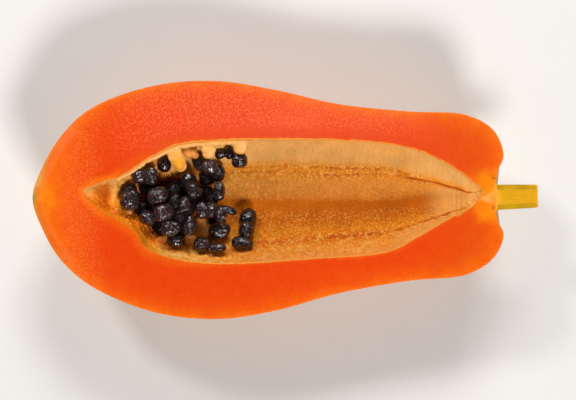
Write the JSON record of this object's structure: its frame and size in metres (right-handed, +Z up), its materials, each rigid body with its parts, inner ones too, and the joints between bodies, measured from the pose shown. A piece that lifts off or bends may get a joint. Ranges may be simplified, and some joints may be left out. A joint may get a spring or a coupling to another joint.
{
  "type": "papaya half",
  "caption": "Half of a ripe papaya cut lengthwise with its stem, its cavity holding a heap of dark seeds; it lies on its rind, cut face up.",
  "frame": {"origin": "middle of the model's length and width, on the surface that the fruit lies on", "axes": "+X points from the blossom tip to the stem, +Y to the far side of the picture's view, +Z up, square to the cut face"},
  "size_m": [0.2047, 0.0961, 0.045],
  "materials": {
    "flesh": "moist satin orange-red flesh, with thin yellow-orange rind outside",
    "lining": "granular tan-orange inner skin, matt",
    "stem": "olive-green skin round a pale yellow fibrous core, matt",
    "seeds": "wrinkled purple-black seeds in a wet clear coat, glossy",
    "pulp": "wet yellow-orange pulp, glossy"
  },
  "bodies": {
    "root": {"flesh": "flesh", "lining": "lining", "stem": "stem", "seed_heap": "seeds", "loose_seed_1": "seeds", "loose_seed_2": "seeds", "loose_seed_3": "seeds", "pulp_1": "pulp", "pulp_2": "pulp", "pulp_3": "pulp", "pulp_4": "pulp"}
  },
  "joints": []
}
